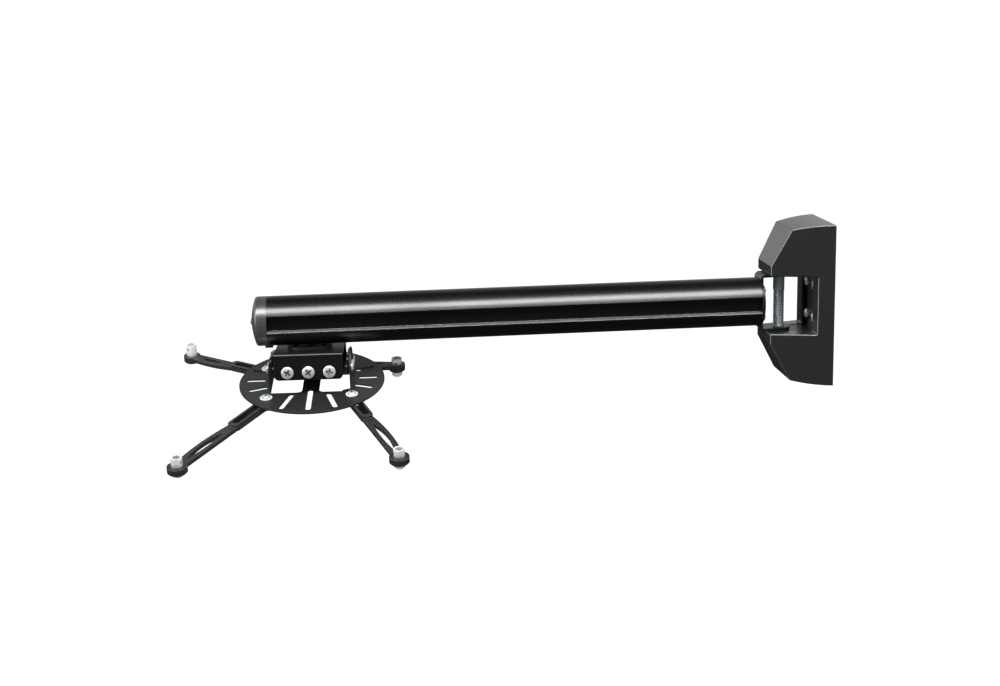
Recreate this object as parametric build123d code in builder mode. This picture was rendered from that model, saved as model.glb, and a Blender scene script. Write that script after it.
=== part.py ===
from build123d import *
from math import cos, radians, sin
import os

os.makedirs("parts", exist_ok=True)

# Frame: the wall is the plane x = 0, the arm reaches out along -X, +Z is up. Sizes in mm.

# Wall plate and the yoke that carries the pivot
plate_side_gap = 6.5
plate_end_gap = 7.2
plate_depth = 10.0
plate_wall = 3.0
wall_hole_r = 4.5
wall_hole_side = 13.0
wall_hole_end = 18.0
yoke_gauge = 4.0
yoke_half_w = 24.0
yoke_nose_r = 14.5
window_half_h = 35.5
yoke_inset = 0.5
yoke_screw_y = 15.0
yoke_screw_z = 20.5
yoke_screw_r = 2.9
yoke_screw_head_r = 5.2
yoke_screw_head_h = 3.2

# Moulded cover over the wall plate
cover_nose_reach = 18.1
cover_half_h_wall = 98.7
cover_half_h_bend = 93.0
cover_bend_back = 23.4
cover_nose_half_h = 48.5
cover_half_w_wall = 52.0
cover_half_w_nose = 32.0
cover_wall = 2.5
cover_edge_r = 1.2
window_floor_gap = 5.3
cover_clear = 0.5

# Pivot
pivot_reach = 55.5
pivot_r = 7.0
pivot_clear = 0.06
pivot_washer_r = 12.5
pivot_washer_t = 0.6
pivot_washer_gap = 0.1
pivot_hex = 22.0
pivot_head_h = 8.8
pivot_nut_h = 11.0
pivot_tail = 4.0

# Fork bent from plate on the tube's end
fork_gauge = 3.5
fork_web_r = 29.0
fork_tab_half_w = 16.0
fork_web_reach = 23.1
fork_nose_r = 14.0
fork_bend_r = 6.0
fork_screw_r = 2.4
fork_screw_head_r = 4.6
fork_screw_head_h = 2.8
fork_screw_l = 22.0

# Aluminium tube: a round extrusion with side channels and a slot below
tube_r = 30.0
tube_wall = 2.6
tube_length = 600.0
channel_half = 8.8
channel_floor = 21.0
channel_wall = 2.0
channel_lip = 1.2
slot_half = 5.6
slot_lip = 3.6
slot_cavity_half = 10.5
slot_cavity_h = 6.2
port_r = 4.6
port_pitch_r = 23.4
port_hole_r = 2.45
core_r = 5.4
core_hole_r = 2.3
web_half = 1.2

# Cap on the tube's outer end
cap_rim = 10.5
cap_round = 4.0
cap_round_angle = 66.0
cap_dome = 4.9
cap_spigot = 10.0
cap_tongue_w = 14.0
cap_tongue_h = 5.0
cap_tongue_z = 20.0
cap_spigot_clear = 0.15
cap_lug_reach = 5.2
cap_lug_half_w = 9.0
cap_lug_drop = 1.4
cap_screw_head_r = 3.8
cap_screw_head_h = 1.8
cap_screw_l = 26.0

# Trolley that hangs from the tube's slot
head_inset = 49.1
nut_half_l = 30.0
nut_clear = 0.3
nut_side_clear = 0.35
disc_r = 27.0
disc_gap = 0.3
disc_t = 3.4
disc_screw_x = 17.0
disc_screw_r = 2.4
disc_screw_head_r = 4.6
stud_r = 5.0
stud_clear = 0.06
stud_tail = 2.5
swivel_washer_r = 11.0
swivel_washer_t = 1.5
swivel_hex = 16.0
swivel_nut_h = 8.0

# Head bracket bent down at the front and the rear
bracket_half = 41.0
bracket_gauge = 3.0
bracket_gap = 0.3
bracket_drop = 31.4
bracket_corner_r = 6.0
axis_drop = 56.0
pitch_screw_pitch = 24.9
pitch_screw_r = 2.9
pitch_head_r = 7.8
pitch_head_h = 3.6
pitch_angle = 5.0
slot_play = 0.3

# Cradle between the head bracket and the spider
cradle_gauge = 2.5
cradle_gap = 0.3
cradle_floor_drop = 8.0
cradle_front_rise = 10.0
cradle_front_half = 31.0
cradle_side_x = 44.7
cradle_side_half = 27.0
cradle_side_rise = 15.0
cradle_corner_r = 8.0
roll_screw_pitch = 19.0
roll_screw_r = 2.4
roll_head_r = 5.4
roll_head_h = 3.0
roll_angle = 13.5

# Spider plate with two ears, rolled and swivelled as photographed
rest_roll = 12.0
rest_swivel = -2.6
spider_r = 88.2
spider_gauge = 2.0
spider_drop = 21.2
ear_x = 47.5
ear_half = 30.0
ear_shoulder_half = 25.0
ear_shoulder_rise = 7.0
right_ear_rise = 19.0
right_ear_top_half = 9.0
right_ear_corner_r = 9.0
left_ear_rise = 9.5
left_ear_top_half = 21.0
left_ear_corner_r = 4.0
window_half = 33.0
strip_half = 10.2
strip_root_r = 6.0
fan_slot_half_w = 3.2
front_fan_y = 35.0
front_fan_angle = 16.5
front_slot_in = 75.0
front_slot_out = 115.0
centre_slot_in = 61.0
centre_slot_out = 115.0
side_fan_y = 4.0
side_fan_angle = 21.0
side_slot_in = 56.0
side_slot_out = 80.0
corner_slot_l = 12.0

# Arms: pivot position on the plate, direction, length to the tip, casting, bulging side, pillar height
arm_gap = 0.25
arm_in_t = 8.2
arm_out_t = 5.2
arm_in_half = 7.2
arm_out_half = 6.2
arm_bulge = 4.0
arm_slot_half = 2.7
arm_end_margin = 5.0
arm_step_margin = 8.0
arm_rim = 2.6
arm_pocket = 1.2
long_out = 102.0
long_slot = 66.0
long_blind = 24.0
long_boss_r = 11.6
short_out = 63.0
short_slot = 50.0
short_blind = 0.0
short_boss_r = 10.4
lens_in = 13.0
lens_tip = 17.0
lens_bulge = 6.0
lens_flat = 2.0
boss_h = 8.6
boss_edge = 1.6
boss_seat = 1.6
pillar_r = 6.5
pillar_bore_r = 4.3
pillar_length = 24.0
pillar_floor = 6.0
pillar_screw_r = 2.75
pillar_cross_r = 1.5
pillar_cross_drop = 5.0
pillar_clear = 0.06
pillar_end = 1.8
arm_screw_r = 2.45
arm_screw_clear = 0.05
arm_washer_r = 7.4
arm_washer_t = 1.0
arm_head_r = 5.2
arm_head_h = 3.2
arm_nut_hex = 9.0
arm_nut_h = 4.5
arm_screw_tail = 1.5
face_gap = 0.1
arms = {
    "front_left": (-51.8, -45.5, -119.2, 173.5, "long", -1, 11.0),
    "front_right": (50.2, -42.7, -68.6, 160.0, "long", 1, 9.3),
    "rear_left": (-57.4, 36.4, 149.8, 117.5, "short", 1, 15.0),
    "rear_right": (27.8, 59.0, -7.1, 75.0, "short", -1, 7.8),
}
patterns = {
    "long": (long_out, long_slot, long_blind, long_boss_r),
    "short": (short_out, short_slot, short_blind, short_boss_r),
}

# Places that follow from the sizes
pivot_x = -pivot_reach
plate_half_w = cover_half_w_wall - cover_wall - plate_side_gap
plate_half_h = cover_half_h_wall - cover_wall - plate_end_gap
wall_hole_y = plate_half_w - wall_hole_side
wall_hole_z = plate_half_h - wall_hole_end
yoke_face = plate_depth + yoke_gauge
cover_depth = pivot_reach + cover_nose_reach
cover_bend_x = cover_depth - cover_bend_back
window_x = -yoke_face - window_floor_gap
ear_in = window_half_h + yoke_inset
ear_out = ear_in + yoke_gauge
tab_out = ear_in - pivot_washer_t - 2 * pivot_washer_gap
tube_end_x = pivot_x - fork_web_reach - fork_gauge
cap_x = tube_end_x - tube_length
head_x = cap_x + head_inset
slot_roof = slot_lip + slot_cavity_h
disc_top = -tube_r - disc_gap
bracket_top = disc_top - disc_t - bracket_gap
bracket_under = bracket_top - bracket_gauge
bracket_foot = bracket_top - bracket_drop
axis_z = -axis_drop
tilt = Plane(
    origin=(head_x, 0, axis_z),
    x_dir=(1, 0, 0),
    z_dir=(0, -sin(radians(rest_roll)), cos(radians(rest_roll))),
)
spider_under = -spider_drop - spider_gauge
arm_top = spider_under - arm_gap
arm_low_top = arm_top - (arm_in_t - arm_out_t)
arm_under = arm_top - arm_in_t
swivel = Location((head_x, 0, 0)) * Location((0, 0, 0), (0, 0, rest_swivel)) * Location((-head_x, 0, 0))


def save(name, piece, spot=Location()):
    if piece.children:
        piece = Compound(children=[child.moved(spot) for child in piece.children])
    else:
        piece = piece.moved(spot)
    piece.label = name
    export_step(piece, f"parts/{name}.step")


def screw(head_r, head_h, shank_r, length):
    # Pan head above z = 0 and plain shank below it
    with BuildPart() as made:
        Cylinder(head_r, head_h, align=(Align.CENTER, Align.CENTER, Align.MIN))
        chamfer(made.edges().group_by(Axis.Z)[-1], head_h * 0.4, head_h * 0.6)
        Cylinder(shank_r, length, align=(Align.CENTER, Align.CENTER, Align.MAX))
    return made.part


def arc_slots(pitch_r, half_w, half_angle):
    # Two slots curved about the middle, one at each side
    with BuildSketch(Plane.XY, mode=Mode.PRIVATE) as slots:
        Circle(pitch_r + half_w)
        Circle(pitch_r - half_w, mode=Mode.SUBTRACT)
        spread = 2 * pitch_r * sin(radians(half_angle)) / cos(radians(half_angle))
        with BuildSketch(mode=Mode.INTERSECT):
            Polygon((0, 0), (2 * pitch_r, -spread), (2 * pitch_r, spread), align=None)
            Polygon((0, 0), (-2 * pitch_r, spread), (-2 * pitch_r, -spread), align=None)
        for side in (-1, 1):
            for end in (-half_angle, half_angle):
                with Locations((side * pitch_r * cos(radians(end)), pitch_r * sin(radians(end)))):
                    Circle(half_w)
    return slots.sketch


def place(piece, spots):
    # The same piece at every spot, kept as separate solids
    return Compound(children=[piece.moved(spot) for spot in spots])


def facing(origin, direction):
    return Plane(origin=origin, z_dir=direction).location


# Wall plate: a shallow pressed tray whose rim stands on the wall
with BuildPart() as wall_plate:
    with BuildSketch(Plane.YZ):
        RectangleRounded(2 * plate_half_w, 2 * plate_half_h, 5)
    extrude(amount=-plate_depth)
    offset(amount=-plate_wall, openings=wall_plate.faces().sort_by(Axis.X)[-1])
    with BuildSketch(Plane.YZ.offset(-plate_depth)):
        with GridLocations(2 * wall_hole_y, 2 * wall_hole_z, 2, 2):
            Circle(wall_hole_r)
        with GridLocations(2 * yoke_screw_y, 2 * yoke_screw_z, 2, 2):
            Circle(yoke_screw_r)
    extrude(amount=plate_depth, mode=Mode.SUBTRACT)
save("wall_plate", wall_plate.part)

# Yoke: back plate with two ears around the pivot bolt
with BuildPart() as yoke:
    with BuildSketch(Plane.YZ.offset(-plate_depth)):
        Rectangle(2 * yoke_half_w, 2 * ear_out)
    extrude(amount=-yoke_gauge)
    for side in (ear_in, -ear_out):
        with BuildSketch(Plane.XY.offset(side)) as ear:
            with Locations((pivot_x, 0)):
                Circle(yoke_nose_r)
            with Locations((-plate_depth - yoke_gauge, 0)):
                Rectangle(2 * yoke_gauge, 2 * yoke_half_w, align=(Align.MIN, Align.CENTER))
            make_hull()
        extrude(amount=yoke_gauge)
    with BuildSketch(Plane.YZ):
        Rectangle(2 * yoke_half_w, 2 * ear_out + 2)
    extrude(amount=-plate_depth, mode=Mode.SUBTRACT)
    with Locations((pivot_x, 0, 0)):
        Cylinder(pivot_r + pivot_clear, 2 * ear_out + 2, mode=Mode.SUBTRACT)
    with BuildSketch(Plane.YZ.offset(-plate_depth)):
        with GridLocations(2 * yoke_screw_y, 2 * yoke_screw_z, 2, 2):
            Circle(yoke_screw_r)
    extrude(amount=-yoke_gauge, mode=Mode.SUBTRACT)
save("yoke", yoke.part)

yoke_screw = screw(yoke_screw_head_r, yoke_screw_head_h, yoke_screw_r - 0.3, yoke_gauge + plate_wall + 3)
yoke_spots = [
    facing((-yoke_face, y, z), (-1, 0, 0))
    for y in (-yoke_screw_y, yoke_screw_y)
    for z in (-yoke_screw_z, yoke_screw_z)
]
save("yoke_screws", place(yoke_screw, yoke_spots))


# Cover: one moulded shell, its side profile crossed with its tapering plan
def cover_form(inset, beyond):
    slope = (cover_half_w_wall - cover_half_w_nose) / cover_depth
    with BuildPart() as form:
        with BuildSketch(Plane.XZ):
            with BuildLine():
                arch = ThreePointArc(
                    (0, cover_half_h_wall),
                    (-cover_bend_x * 0.55, cover_half_h_wall - 1.6),
                    (-cover_bend_x, cover_half_h_bend),
                )
                Polyline(
                    arch @ 1,
                    (-cover_depth, cover_nose_half_h),
                    (-cover_depth, window_half_h),
                    (window_x, window_half_h),
                    (window_x, 0),
                    (beyond, 0),
                    (beyond, cover_half_h_wall),
                    arch @ 0,
                )
            make_face()
            mirror(about=Plane.XZ)
            if inset > 0:
                offset(amount=-inset, mode=Mode.REPLACE)
        extrude(amount=cover_half_w_wall + beyond, both=True)
        with BuildSketch(Plane.XY):
            Polygon(
                (beyond, -cover_half_w_wall - slope * beyond),
                (beyond, cover_half_w_wall + slope * beyond),
                (-cover_depth, cover_half_w_nose),
                (-cover_depth, -cover_half_w_nose),
                align=None,
            )
            if inset > 0:
                offset(amount=-inset, mode=Mode.REPLACE)
        extrude(amount=cover_half_h_wall + 5, both=True, mode=Mode.INTERSECT)
    return form


beyond_wall = 12.0
outer = cover_form(0, beyond_wall)
with BuildPart() as wall_cover:
    add(outer.part)
    rounded = wall_cover.edges().filter_by(lambda e: e.center().X < -1 and e.bounding_box().max.X < beyond_wall - 1)
    fillet(rounded, cover_edge_r)
    add(cover_form(cover_wall, beyond_wall).part, mode=Mode.SUBTRACT)
    with Locations((beyond_wall, 0, 0)):
        Box(2 * beyond_wall, 3 * cover_half_w_wall, 3 * cover_half_h_wall, mode=Mode.SUBTRACT)
    for side in (0, 1):
        with BuildSketch(Plane.XY.offset(-ear_out - 2 if side else window_half_h - 2)):
            with Locations((pivot_x, 0)):
                Circle(yoke_nose_r + cover_clear)
            with Locations((window_x, 0)):
                Rectangle(2, 2 * (yoke_half_w + cover_clear), align=(Align.MIN, Align.CENTER))
            make_hull()
        extrude(amount=yoke_gauge + 4, mode=Mode.SUBTRACT)
    with Locations((window_x - 1, 0, 0)):
        Box(
            cover_wall + 2,
            2 * (yoke_half_w + cover_clear),
            2 * (ear_out + 1),
            align=(Align.MIN, Align.CENTER, Align.CENTER),
            mode=Mode.SUBTRACT,
        )
save("wall_cover", wall_cover.part)

# Pivot bolt, its nut and the two thin washers the fork turns on
with BuildPart() as pivot_bolt:
    with BuildSketch(Plane.XY.offset(ear_out)):
        with Locations((pivot_x, 0)):
            RegularPolygon(pivot_hex / 2, 6, major_radius=False)
    extrude(amount=pivot_head_h)
    with BuildSketch(Plane.XY.offset(ear_out)):
        with Locations((pivot_x, 0)):
            Circle(pivot_r)
    extrude(amount=-(2 * ear_out + pivot_nut_h + pivot_tail))
save("pivot_bolt", pivot_bolt.part)

with BuildPart() as pivot_nut:
    with BuildSketch(Plane.XY.offset(-ear_out)):
        with Locations((pivot_x, 0)):
            RegularPolygon(pivot_hex / 2, 6, major_radius=False)
            Circle(pivot_r + pivot_clear, mode=Mode.SUBTRACT)
    extrude(amount=-pivot_nut_h)
save("pivot_nut", pivot_nut.part)

with BuildPart() as pivot_washers:
    for low in (tab_out + pivot_washer_gap, -tab_out - pivot_washer_gap - pivot_washer_t):
        with BuildSketch(Plane.XY.offset(low)):
            with Locations((pivot_x, 0)):
                Circle(pivot_washer_r)
                Circle(pivot_r + pivot_clear, mode=Mode.SUBTRACT)
        extrude(amount=pivot_washer_t)
save("pivot_washers", pivot_washers.part)

# Fork: web on the tube's end, two tabs on the pivot
port_y = port_pitch_r * cos(radians(45))
with BuildPart() as fork:
    with BuildSketch(Plane.YZ.offset(tube_end_x)):
        Circle(fork_web_r)
        Rectangle(2 * fork_tab_half_w, 2 * tab_out)
    extrude(amount=fork_gauge)
    for low in (tab_out - fork_gauge, -tab_out):
        with BuildSketch(Plane.XY.offset(low)):
            with Locations((pivot_x, 0)):
                Circle(fork_nose_r)
            with Locations((tube_end_x, 0)):
                Rectangle(fork_gauge, 2 * fork_tab_half_w, align=(Align.MIN, Align.CENTER))
            make_hull()
        extrude(amount=fork_gauge)
    bends = fork.edges().filter_by(Axis.Y).group_by(Axis.X)[0]
    fillet(bends, fork_bend_r)
    with Locations((pivot_x, 0, 0)):
        Cylinder(pivot_r + pivot_clear, 2 * ear_out, mode=Mode.SUBTRACT)
    with BuildSketch(Plane.YZ.offset(tube_end_x)):
        with GridLocations(2 * port_y, 2 * port_y, 2, 2):
            Circle(port_hole_r + 0.1)
    extrude(amount=fork_gauge, mode=Mode.SUBTRACT)
save("fork", fork.part)

fork_screw = screw(fork_screw_head_r, fork_screw_head_h, fork_screw_r, fork_screw_l)
fork_spots = [
    facing((tube_end_x + fork_gauge, y, z), (1, 0, 0)) for y in (-port_y, port_y) for z in (-port_y, port_y)
]
save("fork_screws", place(fork_screw, fork_spots))

# Tube: one extruded profile
with BuildPart() as tube:
    with BuildSketch(Plane.YZ.offset(cap_x)):
        Circle(tube_r)
        Circle(tube_r - tube_wall, mode=Mode.SUBTRACT)
        with Locations((0, slot_roof + channel_wall - tube_r)):
            Rectangle(
                2 * (slot_cavity_half + channel_wall),
                slot_roof + channel_wall,
                align=(Align.CENTER, Align.MAX),
            )
        for side in (-1, 1):
            with Locations((side * (channel_floor - channel_wall + tube_r) / 2, 0)):
                Rectangle(tube_r - channel_floor + channel_wall, 2 * (channel_half + channel_wall))
        with GridLocations(2 * port_y, 2 * port_y, 2, 2):
            Circle(port_r)
        Circle(core_r)
        Rectangle(2 * channel_floor, 2 * web_half)
        Circle(tube_r, mode=Mode.INTERSECT)
        for side in (-1, 1):
            with Locations((side * (channel_floor + tube_r + 1) / 2, 0)):
                Rectangle(tube_r + 1 - channel_floor, 2 * channel_half, mode=Mode.SUBTRACT)
            with Locations((side * (tube_r - 2 * channel_lip + tube_r + 1) / 2, 0)):
                Rectangle(2 * channel_lip + 1, 2 * (channel_half + channel_lip), mode=Mode.SUBTRACT)
        with Locations((0, slot_lip - tube_r)):
            Rectangle(2 * slot_cavity_half, slot_cavity_h, align=(Align.CENTER, Align.MIN), mode=Mode.SUBTRACT)
            Rectangle(2 * slot_half, slot_lip + 1, align=(Align.CENTER, Align.MAX), mode=Mode.SUBTRACT)
        with GridLocations(2 * port_y, 2 * port_y, 2, 2):
            Circle(port_hole_r, mode=Mode.SUBTRACT)
        Circle(core_hole_r, mode=Mode.SUBTRACT)
    extrude(amount=tube_length)
save("tube", tube.part)

# End cap: a hollow moulded dome with a tongue into the tube and a lug over the slot's end
shoulder_x = cap_x - cap_rim - cap_round * sin(radians(cap_round_angle))
shoulder_r = tube_r - cap_round * (1 - cos(radians(cap_round_angle)))
dome_x = shoulder_x - cap_dome
with BuildPart() as end_cap:
    with BuildSketch(Plane.XZ):
        with BuildLine():
            Polyline((dome_x, 0), (cap_x, 0), (cap_x, tube_r), (cap_x - cap_rim, tube_r))
            RadiusArc((cap_x - cap_rim, tube_r), (shoulder_x, shoulder_r), -cap_round)
            ThreePointArc(
                (shoulder_x, shoulder_r),
                (dome_x + cap_dome * (0.5 * tube_r / shoulder_r) ** 2, 0.5 * tube_r),
                (dome_x, 0),
            )
        make_face()
    revolve(axis=Axis.X)
    with BuildSketch(Plane.XZ):
        Polygon(
            (cap_x, core_r),
            (cap_x, tube_r - tube_wall),
            (cap_x - cap_rim, tube_r - tube_wall),
            (shoulder_x + tube_wall, shoulder_r - tube_wall),
            (shoulder_x, core_r),
            align=None,
        )
    revolve(axis=Axis.X, mode=Mode.SUBTRACT)
    with Locations((cap_x + cap_spigot, 0, cap_tongue_z)):
        Box(cap_spigot + cap_rim + cap_round, cap_tongue_w, cap_tongue_h, align=(Align.MAX, Align.CENTER, Align.MIN))
    with Locations((cap_x + cap_lug_reach, 0, -tube_r - cap_lug_drop)):
        Box(cap_lug_reach + 4, 2 * cap_lug_half_w, cap_lug_drop - cap_spigot_clear, align=(Align.MAX, Align.CENTER, Align.MIN))
    with Locations((cap_x, 0, -tube_r - cap_lug_drop)):
        Box(4, 2 * cap_lug_half_w, cap_lug_drop + 2, align=(Align.MAX, Align.CENTER, Align.MIN))
    with Locations(Location((cap_x, 0, 0), (0, 90, 0))):
        Cylinder(core_hole_r + 0.1, 2 * tube_r, mode=Mode.SUBTRACT)
save("end_cap", end_cap.part)

cap_screw = screw(cap_screw_head_r, cap_screw_head_h, core_hole_r - 0.05, cap_screw_l)
save("cap_screw", cap_screw.moved(facing((dome_x - face_gap, 0, 0), (-1, 0, 0))))

# Trolley: slot nut with its stud, clamp disc, two countersunk screws, washer and nut
with BuildPart() as slot_nut:
    with Locations((head_x, 0, slot_lip - tube_r + nut_clear)):
        Box(
            2 * nut_half_l,
            2 * (slot_cavity_half - nut_side_clear),
            slot_cavity_h - 2 * nut_clear,
            align=(Align.CENTER, Align.CENTER, Align.MIN),
        )
    stud_end = bracket_under - face_gap - swivel_washer_t - swivel_nut_h - stud_tail
    with BuildSketch(Plane.XY.offset(slot_lip - tube_r + nut_clear)):
        with Locations((head_x, 0)):
            Circle(stud_r)
    extrude(amount=stud_end - (slot_lip - tube_r + nut_clear))
    with Locations((head_x - disc_screw_x, 0, -tube_r), (head_x + disc_screw_x, 0, -tube_r)):
        Cylinder(disc_screw_r + 0.05, tube_r, mode=Mode.SUBTRACT)
save("slot_nut", slot_nut.part)

disc_under = disc_top - disc_t
csk_h = disc_screw_head_r - disc_screw_r
with BuildPart() as trolley_disc:
    with BuildSketch(Plane.XY.offset(disc_under)):
        with Locations((head_x, 0)):
            Circle(disc_r)
            Circle(stud_r + face_gap, mode=Mode.SUBTRACT)
    extrude(amount=disc_t)
    for side in (-disc_screw_x, disc_screw_x):
        with Locations((head_x + side, 0, disc_under)):
            Cylinder(disc_screw_r + 0.1, disc_t, align=(Align.CENTER, Align.CENTER, Align.MIN), mode=Mode.SUBTRACT)
            Cone(
                disc_screw_head_r + 0.1,
                disc_screw_r + 0.1,
                csk_h,
                align=(Align.CENTER, Align.CENTER, Align.MIN),
                mode=Mode.SUBTRACT,
            )
save("trolley_disc", trolley_disc.part)

with BuildPart() as csk:
    with BuildSketch(Plane.XZ):
        Polygon(
            (0, 0),
            (disc_screw_head_r, 0),
            (disc_screw_r, csk_h),
            (disc_screw_r, disc_t + disc_gap + slot_roof - nut_clear),
            (0, disc_t + disc_gap + slot_roof - nut_clear),
            align=None,
        )
    revolve(axis=Axis.Z)
csk_spots = [Location((head_x + side, 0, disc_under)) for side in (-disc_screw_x, disc_screw_x)]
save("trolley_screws", place(csk.part, csk_spots))

with BuildPart() as swivel_nut:
    with BuildSketch(Plane.XY.offset(bracket_under - face_gap)):
        with Locations((head_x, 0)):
            Circle(swivel_washer_r)
            Circle(stud_r + stud_clear, mode=Mode.SUBTRACT)
    extrude(amount=-swivel_washer_t)
    with BuildSketch(Plane.XY.offset(bracket_under - face_gap - swivel_washer_t)):
        with Locations((head_x, 0)):
            RegularPolygon(swivel_hex / 2, 6, major_radius=False)
            Circle(stud_r + stud_clear, mode=Mode.SUBTRACT)
    extrude(amount=-swivel_nut_h)
save("swivel_nut", swivel_nut.part)

# Head bracket: top plate with a flange at the front and the rear
with BuildPart() as head_bracket:
    with BuildSketch(Plane.YZ.offset(head_x - bracket_half)):
        with Locations((0, bracket_top)):
            Rectangle(2 * bracket_half, bracket_drop, align=(Align.CENTER, Align.MAX))
        with Locations((0, bracket_under)):
            Rectangle(
                2 * (bracket_half - bracket_gauge),
                bracket_drop,
                align=(Align.CENTER, Align.MAX),
                mode=Mode.SUBTRACT,
            )
    extrude(amount=2 * bracket_half)
    feet = head_bracket.edges().filter_by(Axis.Y).group_by(Axis.Z)[0]
    fillet(feet, bracket_corner_r)
    bends = head_bracket.edges().filter_by(Axis.X).group_by(Axis.Z)[-1]
    fillet(bends, bracket_gauge * 0.6)
    with Locations((head_x, 0, bracket_top)):
        Cylinder(stud_r + stud_clear, 4 * bracket_gauge, mode=Mode.SUBTRACT)
    with BuildSketch(Plane.XZ):
        with Locations((head_x, axis_z)):
            Circle(pitch_screw_r + stud_clear)
            add(arc_slots(pitch_screw_pitch, pitch_screw_r + slot_play, pitch_angle))
    extrude(amount=2 * bracket_half, both=True, mode=Mode.SUBTRACT)
save("head_bracket", head_bracket.part, swivel)

# Cradle: a tray with four flanges, front and rear inside the head bracket, sides inside the ears
cradle_half_y = bracket_half - bracket_gauge - cradle_gap
cradle_half_x = cradle_side_x + cradle_gauge
cradle_low = axis_z - cradle_floor_drop
with BuildPart() as pitch_cradle:
    with Locations((head_x, 0, cradle_low)):
        Box(
            2 * cradle_half_x,
            2 * cradle_side_half,
            cradle_gauge,
            align=(Align.CENTER, Align.CENTER, Align.MIN),
        )
        Box(
            2 * cradle_front_half,
            2 * cradle_half_y,
            cradle_gauge,
            align=(Align.CENTER, Align.CENTER, Align.MIN),
        )
    for side in (-1, 1):
        with BuildSketch(Plane.XZ.offset(side * cradle_half_y)):
            with Locations((head_x, cradle_low)):
                Rectangle(
                    2 * cradle_front_half,
                    cradle_floor_drop + cradle_front_rise,
                    align=(Align.CENTER, Align.MIN),
                )
            fillet(vertices().group_by(Axis.Y)[-1], cradle_corner_r)
            with Locations(*[(head_x + step * pitch_screw_pitch, axis_z) for step in (-1, 0, 1)]):
                Circle(pitch_screw_r + arm_screw_clear, mode=Mode.SUBTRACT)
        extrude(amount=-side * cradle_gauge)
        with BuildSketch(Plane.YZ.offset(head_x + side * cradle_half_x)):
            with Locations((0, cradle_low)):
                Rectangle(
                    2 * cradle_side_half,
                    cradle_floor_drop + cradle_side_rise,
                    align=(Align.CENTER, Align.MIN),
                )
            fillet(vertices().group_by(Axis.Y)[-1], cradle_corner_r)
            with Locations(*[(step * roll_screw_pitch, axis_z) for step in (-1, 0, 1)]):
                Circle(roll_screw_r + arm_screw_clear, mode=Mode.SUBTRACT)
        extrude(amount=-side * cradle_gauge)
save("pitch_cradle", pitch_cradle.part, swivel)

pitch_screw = screw(
    pitch_head_r, pitch_head_h, pitch_screw_r, face_gap + bracket_gauge + cradle_gap + cradle_gauge + 2
)
pitch_spots = [
    facing((head_x + step * pitch_screw_pitch, side * (bracket_half + face_gap), axis_z), (0, side, 0))
    for side in (-1, 1)
    for step in (-1, 0, 1)
]
save("pitch_screws", place(pitch_screw, pitch_spots), swivel)

ear_out_x = ear_x + spider_gauge
roll_screw = screw(roll_head_r, roll_head_h, roll_screw_r, ear_out_x + face_gap - cradle_side_x + 2)
roll_spots = [
    facing((head_x + side * (ear_out_x + face_gap), step * roll_screw_pitch, axis_z), (side, 0, 0))
    for side in (-1, 1)
    for step in (-1, 0, 1)
]
save("roll_screws", place(roll_screw, roll_spots), swivel)


# Spider: round plate with two windows, fans of slots and two ears
def fan(centre_y, angle, near, far, way):
    # One radial slot of a fan; way is the direction of the fan's middle
    line_angle = radians(way + angle)
    middle = (near + far) / 2
    spot = Location((middle * cos(line_angle), centre_y + middle * sin(line_angle), 0), (0, 0, way + angle))
    with Locations(spot):
        SlotOverall(far - near, 2 * fan_slot_half_w, mode=Mode.SUBTRACT)


with BuildPart() as spider:
    with BuildSketch(tilt.offset(-spider_drop)):
        Circle(spider_r)
        for side in (-1, 1):
            with BuildSketch(mode=Mode.SUBTRACT):
                with Locations((side * (strip_half + ear_x) / 2, 0)):
                    Rectangle(ear_x - strip_half, 2 * window_half)
                fillet(vertices().group_by(SortBy.DISTANCE)[0], strip_root_r)
            fan(side_fan_y, 0, side_slot_in, side_slot_out, 90 - side * 90)
            fan(side_fan_y, side_fan_angle, side_slot_in, side_slot_out, 90 - side * 90)
            fan(side_fan_y, -side_fan_angle, side_slot_in, side_slot_out, 90 - side * 90)
            fan(side * front_fan_y, 0, centre_slot_in, centre_slot_out, -side * 90)
            fan(side * front_fan_y, front_fan_angle, front_slot_in, front_slot_out, -side * 90)
            fan(side * front_fan_y, -front_fan_angle, front_slot_in, front_slot_out, -side * 90)
        for name in ("front_left", "front_right", "rear_left"):
            x, y = arms[name][0:2]
            with Locations(Location((x, y, 0), (0, 0, 45 if x * y > 0 else -45))):
                SlotOverall(corner_slot_l, 2 * fan_slot_half_w, mode=Mode.SUBTRACT)
    extrude(amount=-spider_gauge)
    for side in (-1, 1):
        ear_plane = Plane(origin=(tilt * Pos(side * ear_x, 0, 0)).position, x_dir=tilt.y_dir, z_dir=(side, 0, 0))
        with BuildSketch(ear_plane):
            top_half = right_ear_top_half if side > 0 else left_ear_top_half
            rise = right_ear_rise if side > 0 else left_ear_rise
            corner_r = right_ear_corner_r if side > 0 else left_ear_corner_r
            Polygon(
                (-ear_half, -side * spider_drop),
                (ear_half, -side * spider_drop),
                (ear_shoulder_half, side * ear_shoulder_rise),
                (top_half, side * rise),
                (-top_half, side * rise),
                (-ear_shoulder_half, side * ear_shoulder_rise),
                align=None,
            )
            fillet(vertices().filter_by(lambda v: abs(v.Y - side * rise) < 0.1), corner_r)
            Circle(roll_screw_r + stud_clear, mode=Mode.SUBTRACT)
            add(arc_slots(roll_screw_pitch, roll_screw_r + slot_play, roll_angle), mode=Mode.SUBTRACT)
        extrude(amount=spider_gauge)
save("spider", spider.part, swivel)


# Arms: cast bars with a slot, a step and a boss at the tip
def arm_place(name, w):
    x, y, angle = arms[name][0:3]
    return Plane(tilt.offset(w).location * Location((x, y, 0), (0, 0, angle)))


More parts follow.
